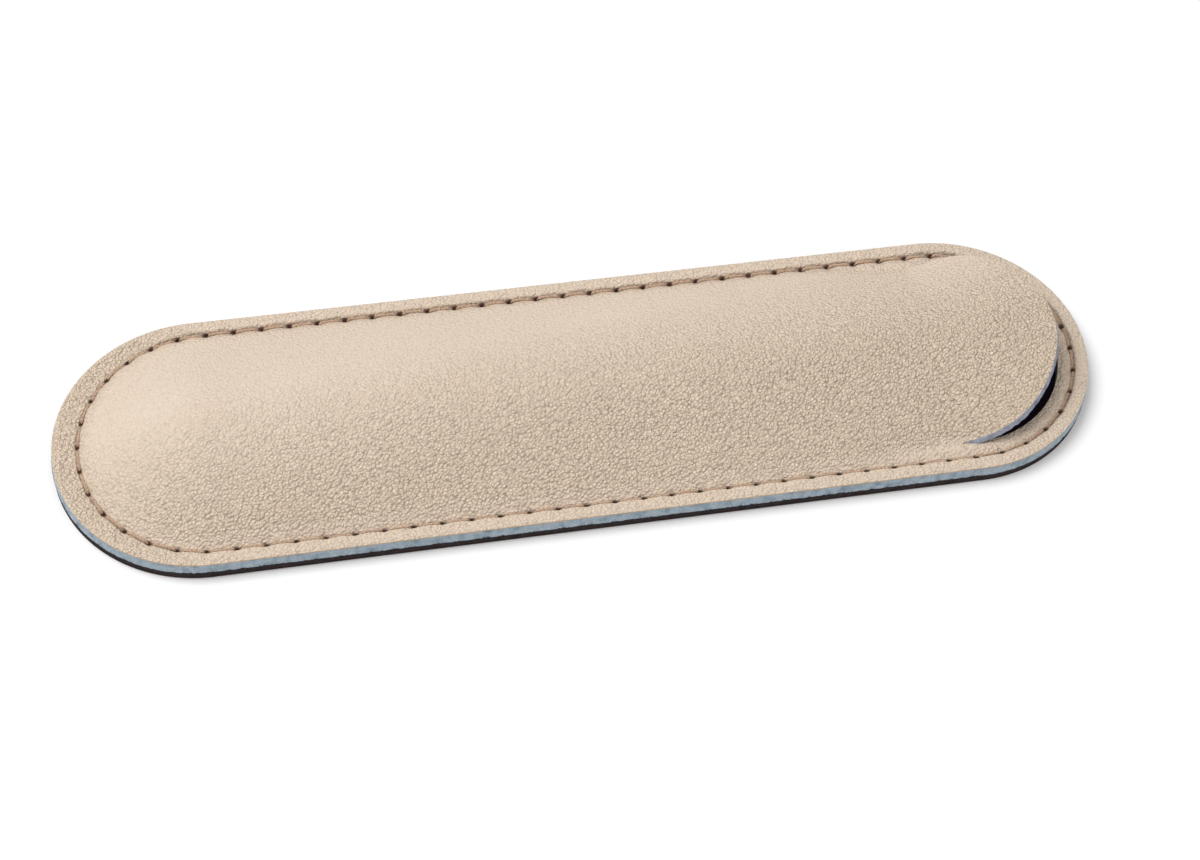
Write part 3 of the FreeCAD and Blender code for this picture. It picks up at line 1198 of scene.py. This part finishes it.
    def form(self, panel: bpy.types.Object, finishes: dict[Layer, bpy.types.Material]) -> bpy.types.Object:
        """Cuts the slit, moulds both pieces and gives them thickness and smooth faces.

        Args:
            panel: The flat sheet, which is left as the panel.
            finishes: A material for each kind of face.

        Returns:
            The lip.
        """
        plan = self.plan
        lip = self.split_lip(panel)
        flat = read_points(lip)
        slit_edge = plan.spine_distance(flat[:, 0], flat[:, 1]) > plan.slit_radius - 2 * self.sliver
        self.shape(panel, self.dome_height)
        self.shape(lip, self.lip_height)
        self.draw_in_lip(lip)
        for piece in (panel, lip):
            grain_points = self.sheet.thicken(piece, plan.front_leather, finishes)
            if piece is lip:
                lip.data.materials[Layer.CUT.value] = self.lip_cut
                self.square_lip_edge(lip, slit_edge, grain_points)
            else:
                self.settle_flesh(panel, grain_points)
                self.sheet.roughen_edge(panel, plan.rim_bottom, plan.front_leather, self.edge_cuts,
                                        self.ragged, seed=1.0)
            self.sheet.map_seam(piece)
            take(piece)
            bpy.ops.object.shade_smooth_by_angle(angle=SMOOTH_ANGLE)
        return lip


@dataclass
class BackLeather:
    """Brown back: flat, with a rolled edge and a bed pressed in by each stitch.

    Attributes:
        plan: The sleeve's plan.
        sheet: The sheet that it is cut from.
        edge_roll: Depth of the rolled outer edge.
        edge_roll_width: Width of that roll.
        bed_depth: Depth of the bed under a stitch.
        bed_width: Half of that bed's width.
        bridge_share: Share of a stitch, from the needle hole, over which the bed reaches its depth.
        valley: Depth of the wide hollow along the seam.
        edge_cuts: How many cuts part the outer edge into rows.
        ragged: How far the fibres of the outer edge stand in or out.
    """

    plan: Plan
    sheet: LeatherSheet
    edge_roll: float = 0.16 * MM
    edge_roll_width: float = 0.45 * MM
    bed_depth: float = 0.5 * MM
    bed_width: float = 0.42 * MM
    bridge_share: float = 0.16
    valley: float = 0.06 * MM
    edge_cuts: int = 3
    ragged: float = 0.08 * MM

    def shape(self, panel: bpy.types.Object) -> None:
        """Presses the stitch beds in from below and rolls the edge.

        Args:
            panel: The flat sheet, grain down.
        """
        plan = self.plan
        points = read_points(panel)
        x, y = points[:, 0], points[:, 1]
        spread = plan.spine_distance(x, y)
        inset = plan.end_radius - self.sheet.lean - spread
        offset = plan.seam_distance(x, y) - plan.stitch_radius
        phase = plan.seam_phase(x, y)
        from_hole = np.abs(phase - np.round(phase))
        bed = ease(from_hole, 0.25 * self.bridge_share, self.bridge_share)
        dent = self.bed_depth * bed * np.exp(-(offset / self.bed_width) ** 2)
        valley = self.valley * np.exp(-(offset / (3 * self.bed_width)) ** 2)
        roll = self.edge_roll * np.clip(1 - inset / self.edge_roll_width, 0, 1) ** 2
        points[:, 2] = dent + valley + roll
        write_points(panel, points)

    def build(self, finishes: dict[Layer, bpy.types.Material]) -> bpy.types.Object:
        """Makes the back and hangs it on the sleeve.

        Args:
            finishes: A material for each kind of face.

        Returns:
            The back panel.
        """
        plan = self.plan
        panel = self.sheet.build("back_leather", [])
        take(panel)
        bpy.ops.object.mode_set(mode="EDIT")
        bpy.ops.mesh.select_all(action="SELECT")
        bpy.ops.mesh.flip_normals()
        bpy.ops.object.mode_set(mode="OBJECT")
        self.shape(panel)
        grain_points = self.sheet.thicken(panel, plan.back_top, finishes)
        points = read_points(panel)
        points[grain_points:, :2] = points[:grain_points, :2]
        points[grain_points:, 2] = plan.back_top
        write_points(panel, points)
        self.sheet.roughen_edge(panel, 0.0, plan.back_top, self.edge_cuts, self.ragged, seed=8.0)
        self.sheet.map_seam(panel)
        take(panel)
        bpy.ops.object.shade_smooth_by_angle(angle=SMOOTH_ANGLE)
        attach(panel, "sleeve")
        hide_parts("back_panel")
        return panel


@dataclass
class StitchRow:
    """One side of the lockstitch: a twisted thread that shows between one needle hole and the next.

    Attributes:
        plan: The sleeve's plan.
        name: Name of the piece.
        node: The thread's solid, which the row hides.
        side: Which way the row faces.
        rest_z: Height of the thread's middle where it lies on the leather.
        start_share: Share of the way between two holes where the thread comes out.
        end_share: Share of the way where it goes in again.
        rise_share: Share of the visible stitch over which it rises.
        fall_share: Share of the visible stitch over which it falls.
        dive: How deep its ends go in.
        slant: How far it lies askew, across for each length along.
        diameter: Diameter of the thread.
        lay: Length of one turn of the twist.
        plies: How many strands are twisted together.
        ply_share: Radius of one strand as a share of the thread's diameter.
        sides: Sides of a strand.
        steps: Steps along a strand.
        stray_turn: Most that a stitch is turned out of line, in degrees.
        stray_stretch: Most that a stitch is longer or shorter than the rest, as a share.
        seed: Fixes the unevenness.
    """

    plan: Plan
    name: str
    node: str
    side: Side
    rest_z: float
    start_share: float
    end_share: float
    rise_share: float
    fall_share: float
    dive: float
    slant: float
    diameter: float
    lay: float = 1.5 * MM
    plies: int = 3
    ply_share: float = 0.27
    sides: int = 6
    steps: int = 14
    stray_turn: float = 1.5
    stray_stretch: float = 0.02
    seed: int = 5

    def track(self, share: float) -> Vector:
        """Finds the middle of the thread.

        Args:
            share: How far along the stitch, from where it comes out at 0 to where it goes in at 1.

        Returns:
            The point, with the first needle hole at the origin and the stitch along X.
        """
        along = self.plan.pitch * (self.start_share + (self.end_share - self.start_share) * share)
        rise = min(share / self.rise_share, 1)
        fall = min((1 - share) / self.fall_share, 1)
        lift = math.sin(rise * math.pi / 2) * math.sin(fall * math.pi / 2)
        across = self.slant * (along - self.plan.pitch / 2)
        return Vector((along, across, self.side.value * self.dive * (lift - 1)))

    def ply_point(self, ply: int, share: float) -> Vector:
        """Finds the middle of one strand, wound about the middle of the thread.

        Args:
            ply: Number of the strand.
            share: How far along the stitch.

        Returns:
            The point, in the place that track gives.
        """
        middle = self.track(share)
        angle = FULL_TURN * (middle.x / self.lay + ply / self.plies)
        swing = self.diameter / 4
        return middle + Vector((0, swing * math.cos(angle), swing * math.sin(angle)))

    def one_stitch(self) -> bpy.types.Object:
        """Twists one stitch along X, with its first needle hole at the origin.

        Returns:
            The stitch as one object of all its strands.
        """
        strands = []
        for ply in range(self.plies):
            deselect_all()
            start = self.ply_point(ply, 0)
            bpy.ops.mesh.primitive_circle_add(
                vertices=self.sides, radius=self.ply_share * self.diameter, fill_type="NGON", location=start,
                rotation=(0, math.pi / 2, 0))
            strand = bpy.context.object
            bpy.ops.object.transform_apply(location=True, rotation=True, scale=True)
            bpy.ops.object.mode_set(mode="EDIT")
            bpy.ops.mesh.select_all(action="SELECT")
            for step in range(self.steps):
                here, there = (self.ply_point(ply, (step + n) / self.steps) for n in (0, 1))
                bpy.ops.mesh.extrude_region_move(TRANSFORM_OT_translate={"value": there - here})
            bpy.ops.mesh.select_all(action="SELECT")
            bpy.ops.mesh.normals_make_consistent(inside=False)
            bpy.ops.object.mode_set(mode="OBJECT")
            strands.append(strand)
        return join_all(strands)

    def places(self) -> Iterator[Matrix]:
        """Lays the stitches out, with the small unevenness of a machine seam.

        Returns:
            Where each stitch goes, in turn.
        """
        plan = self.plan
        chance = random.Random(self.seed)
        for number in range(plan.stitch_count):
            start = plan.seam_place((number + 0.5) * plan.pitch % plan.seam_length)
            end = plan.seam_place((number + 1.5) * plan.pitch % plan.seam_length)
            along = (end - start).normalized()
            turn = math.atan2(along.y, along.x) + math.radians(
                chance.uniform(-self.stray_turn, self.stray_turn))
            stretch = (end - start).length / plan.pitch * chance.uniform(
                1 - self.stray_stretch, 1 + self.stray_stretch)
            yield (Matrix.Translation((start.x, start.y, self.rest_z)) @ Matrix.Rotation(turn, 4, "Z")
                   @ Matrix.Diagonal((stretch, 1, 1, 1)))

    def build(self, finish: bpy.types.Material) -> bpy.types.Object:
        """Copies the stitch all round the seam and hangs the row on the sleeve.

        Args:
            finish: The thread's material.

        Returns:
            The row of stitches as one piece.
        """
        pattern = self.one_stitch()
        copies = []
        for place in self.places():
            copy = pattern.copy()
            copy.data = pattern.data.copy()
            copy.data.transform(place)
            bpy.context.collection.objects.link(copy)
            copies.append(copy)
        bpy.data.objects.remove(pattern)
        row = join_all(copies)
        row.name = row.data.name = self.name
        row.data.materials.append(finish)
        bpy.ops.object.shade_smooth()
        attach(row, "sleeve")
        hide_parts(self.node)
        return row


@dataclass
class CementLine:
    """Dried cement that squeezes out as a fine ragged line between the leathers.

    Attributes:
        plan: The sleeve's plan.
        sheet: The sheet that gives its outline.
        width: How far in from the edge the film reaches.
        ragged: How far its edge stands in or out.
        ragged_length: Wavelength of that raggedness.
    """

    plan: Plan
    sheet: LeatherSheet
    width: float = 2.6 * MM
    ragged: float = 0.09 * MM
    ragged_length: float = 0.6 * MM

    def build(self, finish: bpy.types.Material) -> bpy.types.Object:
        """Makes the film and hangs it on the sleeve.

        Args:
            finish: The cement's material.

        Returns:
            The film as one piece.
        """
        plan = self.plan
        film = self.sheet.build("cement_line", [])
        take(film)
        bpy.ops.object.mode_set(mode="EDIT")
        choose(film, Element.FACES, lambda face: plan.end_radius - plan.spine_distance(
            *face.calc_center_median().xy) > self.width)
        bpy.ops.mesh.delete(type="FACE")
        bpy.ops.object.mode_set(mode="OBJECT")
        points = read_points(film)
        points[:, 2] = plan.rim_bottom
        edge = plan.spine_distance(points[:, 0], points[:, 1]) > plan.end_radius - 1.5 * self.sheet.lean
        reach = 1 + (self.ragged * flutter(points[edge], self.ragged_length, seed=2.0)) / plan.end_radius
        centre = np.clip(points[edge, 0], -plan.end_centre, plan.end_centre)
        points[edge, 0] = centre + (points[edge, 0] - centre) * reach
        points[edge, 1] *= reach
        write_points(film, points)
        film.data.materials.append(finish)
        solid = film.modifiers.new("film", "SOLIDIFY")
        solid.thickness = plan.rim_bottom - plan.back_top
        solid.offset = -1
        apply_modifier(film, solid)
        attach(film, "sleeve")
        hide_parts("seam_cement")
        return film


@dataclass(frozen=True)
class Lamp:
    """A square soft light that faces the sleeve.

    Attributes:
        name: Name of the light.
        place: Where it hangs.
        size: Length of its sides.
        power: Its power in watts.
    """

    name: str
    place: tuple[float, float, float]
    size: float
    power: float

    def hang(self) -> None:
        """Adds the light to the scene."""
        bpy.ops.object.light_add(type="AREA", location=self.place)
        lamp = bpy.context.object
        lamp.name = self.name
        lamp.data.size = self.size
        lamp.data.energy = self.power
        lamp.rotation_euler = Vector(self.place).to_track_quat("Z", "Y").to_euler()


@dataclass
class Studio:
    """Pale floor, soft light from the upper left and a camera at the photograph's angle.

    Attributes:
        plan: The sleeve's plan.
        azimuth: Angle of the camera round the sleeve, from the near side.
        elevation: Angle of the camera over the floor.
        roll: How far the camera is turned about its own axis.
        distance: Distance from the camera to the plane of the rim.
        pan_right: How far right of the sleeve's middle the camera aims.
        pan_up: How far above the sleeve's middle it aims.
        lens: Focal length in millimetres.
        sensor: Width of the sensor in millimetres.
        floor_size: Length of the floor's sides.
        floor_colour: Colour of the floor.
        floor_glow: Light that the floor adds where the camera sees it, up to white.
        sky_strength: Strength of the light from all round.
        lamps: A large key light and a weak fill.
    """

    plan: Plan
    azimuth: float = math.radians(-15.27)
    elevation: float = math.radians(55.61)
    roll: float = math.radians(5.88)
    distance: float = 286.6 * MM
    pan_right: float = 1.97 * MM
    pan_up: float = -4.47 * MM
    lens: float = 69.0
    sensor: float = 36.0
    floor_size: float = 6.0
    floor_colour: str = "#FAFAFA"
    floor_glow: float = 0.11
    sky_strength: float = 0.42
    lamps: tuple[Lamp, ...] = (Lamp("key", (-0.36, 0.14, 0.72), 0.5, 4.6),
                               Lamp("fill", (0.45, -0.5, 0.5), 0.6, 0.95))

    def camera(self) -> None:
        """Places the camera that looks at the rim's plane."""
        azimuth, elevation = self.azimuth, self.elevation
        back = Vector((math.sin(azimuth) * math.cos(elevation), -math.cos(azimuth) * math.cos(elevation),
                       math.sin(elevation)))
        level = Vector((math.cos(azimuth), math.sin(azimuth), 0))
        upright = back.cross(level)
        right = level * math.cos(self.roll) + upright * math.sin(self.roll)
        up = upright * math.cos(self.roll) - level * math.sin(self.roll)
        aim = right * self.pan_right + up * self.pan_up + Vector((0, 0, self.plan.rim_top))
        bpy.ops.object.camera_add()
        camera = bpy.context.object
        camera.data.lens = self.lens
        camera.data.sensor_width = self.sensor
        camera.data.sensor_fit = "HORIZONTAL"
        camera.data.clip_start = 5 * MM
        camera.matrix_world = Matrix.Translation(aim + back * self.distance) @ Matrix(
            (right, up, back)).transposed().to_4x4()
        bpy.context.scene.camera = camera

    def floor(self) -> None:
        """Lays a plain pale floor under the sleeve."""
        deselect_all()
        bpy.ops.mesh.primitive_plane_add(size=self.floor_size)
        floor = bpy.context.object
        floor.name = "floor"
        # Matte white paper: an even pale ground with a soft shadow and no gloss.
        material, tree = empty_material("matte white paper")
        seen = add_node(tree, "ShaderNodeLightPath").outputs["Is Camera Ray"]
        glow = add_node(tree, "ShaderNodeMath", {
            0: seen, 1: self.floor_glow}, operation="MULTIPLY").outputs[0]
        shader = add_node(tree, "ShaderNodeBsdfPrincipled", {
            "Base Color": linear(self.floor_colour), "Roughness": 0.9, "Specular IOR Level": 0.1,
            "Emission Color": (1, 1, 1, 1), "Emission Strength": glow})
        add_node(tree, "ShaderNodeOutputMaterial", {"Surface": shader.outputs[0]})
        floor.data.materials.append(material)
        floor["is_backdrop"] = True

    def lights(self) -> None:
        """Lights the sleeve from a pale sky and the lamps."""
        world = bpy.data.worlds.new("pale sky")
        bpy.context.scene.world = world
        world.use_nodes = True
        world.node_tree.nodes["Background"].inputs["Color"].default_value = (1, 1, 1, 1)
        world.node_tree.nodes["Background"].inputs["Strength"].default_value = self.sky_strength
        for lamp in self.lamps:
            lamp.hang()
        bpy.context.scene.view_settings.view_transform = "Standard"

    def build(self) -> None:
        """Sets up floor, lights and camera."""
        self.floor()
        self.lights()
        self.camera()


# Suede flesh side, dyed dark and made darker still by the pocket's shade, which is painted into its colour: a
# short nap that takes in nearly all light, so the pocket looks deep. Real fibres are about 0.05 mm wide, and
# here as on each cut edge they are drawn coarser, so that they show.
FLESH_SIDE = FibreFinish(
    name="dark suede flesh side in painted shade", light="#3A2A3C", mid="#2A1C2C", dark="#1C1320", fibre=0.18 * MM,
    relief=0.05 * MM, roughness=0.95)

# Calf that a knife has cut: pale loose fibres with a cool lavender cast and no shine.
LIP_EDGE = FibreFinish(
    name="lavender-grey cut edge", light="#B7BBC9", mid="#979CAF", dark="#767B90", fibre=0.22 * MM,
    relief=0.06 * MM, roughness=0.9)

# Calf cut and dyed nearly black: dull dark fibres that set the pale front off from the floor.
BACK_EDGE = FibreFinish(
    name="dark brown cut edge", light="#3F3433", mid="#2B2222", dark="#1B1415", fibre=0.2 * MM,
    relief=0.06 * MM, roughness=0.9)

# Contact cement, dried: an amber, faintly rubbery line with a lumpy edge.
CEMENT = FibreFinish(
    name="dried contact cement", light="#C9965F", mid="#A8774A", dark="#7E5633", fibre=0.25 * MM,
    relief=0.04 * MM, roughness=0.7)

# Bonded polyester, twisted: a soft silky gleam with darker tan between the filaments. Real filaments are
# about 0.03 mm wide, and on both threads they are drawn as streaks of 0.12 mm, so that they show.
NEEDLE_THREAD = ThreadFinish(
    name="tan polyester thread", light="#DFC2A8", dark="#A07B5C", streak=0.12 * MM, roughness=0.55)

# The same thread in copper: a warm gleam against the brown.
BOBBIN_THREAD = ThreadFinish(
    name="copper polyester thread", light="#D08A5E", dark="#8A4B2C", streak=0.12 * MM, roughness=0.5)


def front_edge(plan: Plan) -> FibreFinish:
    """Edge of the front leather, between the skin of its grain and the dark stain of the seam."""
    # Calf cut and left raw: cool blue-grey fibres under a thin tan line, with a ragged dark foot.
    return FibreFinish(
        name="blue-grey cut edge", light="#BECAD2", mid="#9BABB7", dark="#748695", fibre=0.22 * MM,
        relief=0.06 * MM, roughness=0.9, stain="#2B2222", stain_top=plan.rim_bottom + 0.04 * MM,
        skin="#CFA678", skin_bottom=plan.rim_top - 0.33 * MM)


def cream_grain(plan: Plan) -> GrainFinish:
    """Grain of the front leather, flatter on the far side and at the closed end, where it is drawn tight."""
    # Cream calf, milled in a drum until its grain breaks: a warm satin of fine slanting pebbles, with a
    # painted highlight on their tops, tan painted shade in the hollows, painted shade in the needle holes and
    # a painted shadow along the seam's groove.
    return GrainFinish(
        name="cream pebbled leather", ground="#DDCAB8", crease_shade="#A5784E", worn="#FFE7CA", bloom="#E3D3C1",
        roughness=0.55, pebble=0.365 * MM, draw=1.15, lay=35.0, relief=0.285 * MM, crease_shade_share=0.17,
        highlight_share=0.54, wrinkle=2.2 * MM, wrinkle_strength=0.3, evenness=(8.0, -59.0, 0.0), depth=0.92,
        rim_top=plan.rim_top, rim_depth=0.7, closed_rim_depth=1.1, hole_shade_colour="#4E2F20", groove=0.55,
        hole_length=0.6 * MM, hole_width=0.4 * MM, stitch_pitch=plan.pitch)


def brown_grain(plan: Plan) -> GrainFinish:
    """Grain of the back leather."""
    # Brown calf, pressed flat: a matte skin with a fine faint grain and long soft wrinkles, with faint
    # painted highlight and shade on the grain, painted shade in the needle holes and a faint painted shadow
    # along the seam's groove.
    return GrainFinish(
        name="brown fine leather", ground="#6F5450", crease_shade="#4E3836", worn="#8A6C66", bloom="#7C605B",
        roughness=0.6, pebble=0.36 * MM, draw=1.25, lay=90.0, relief=0.05 * MM, crease_shade_share=0.3,
        highlight_share=0.2, wrinkle=5.0 * MM, wrinkle_strength=1.6, evenness=(0.0, 0.0, 0.0), depth=1.0,
        rim_top=plan.rim_top, rim_depth=1.0, closed_rim_depth=1.0, hole_shade_colour="#1E1310", groove=0.15,
        hole_length=0.6 * MM, hole_width=0.42 * MM, stitch_pitch=plan.pitch)


def main() -> None:
    """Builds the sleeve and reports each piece."""
    logging.basicConfig(level=logging.INFO, format="%(message)s")
    cad_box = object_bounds()
    plan = Plan.from_frame()
    sheet = LeatherSheet(plan)
    flesh = FLESH_SIDE.material()
    front = FrontLeather(plan, sheet, LIP_EDGE.material()).build({
        Layer.GRAIN: cream_grain(plan).material(), Layer.FLESH: flesh,
        Layer.CUT: front_edge(plan).material()})
    back = BackLeather(plan, LeatherSheet(plan, lean=0.03 * MM, growth=1.25)).build({
        Layer.GRAIN: brown_grain(plan).material(), Layer.FLESH: flesh, Layer.CUT: BACK_EDGE.material()})
    needle = StitchRow(
        plan, "needle_stitches", "needle_thread", Side.FRONT, rest_z=plan.rim_top - 0.38 * MM,
        start_share=0.1, end_share=0.96, rise_share=0.2, fall_share=0.12, dive=0.7 * MM, slant=0.0,
        diameter=0.4 * MM).build(NEEDLE_THREAD.material())
    bobbin = StitchRow(
        plan, "bobbin_stitches", "bobbin_thread", Side.BACK, rest_z=0.34 * MM,
        start_share=0.12, end_share=0.9, rise_share=0.14, fall_share=0.14, dive=0.6 * MM, slant=0.06,
        diameter=0.58 * MM, seed=9).build(BOBBIN_THREAD.material())
    cement = CementLine(plan, sheet).build(CEMENT.material())
    Studio(plan).build()
    for piece in (*front, back, needle, bobbin, cement):
        LOG.info("%s: %d faces", piece.name, len(piece.data.polygons))
    sizes = {"cad": cad_box, "visual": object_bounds()}
    {name: [list(corner) for corner in box] for name, box in sizes.items()}


if __name__ == "__main__":
    main()
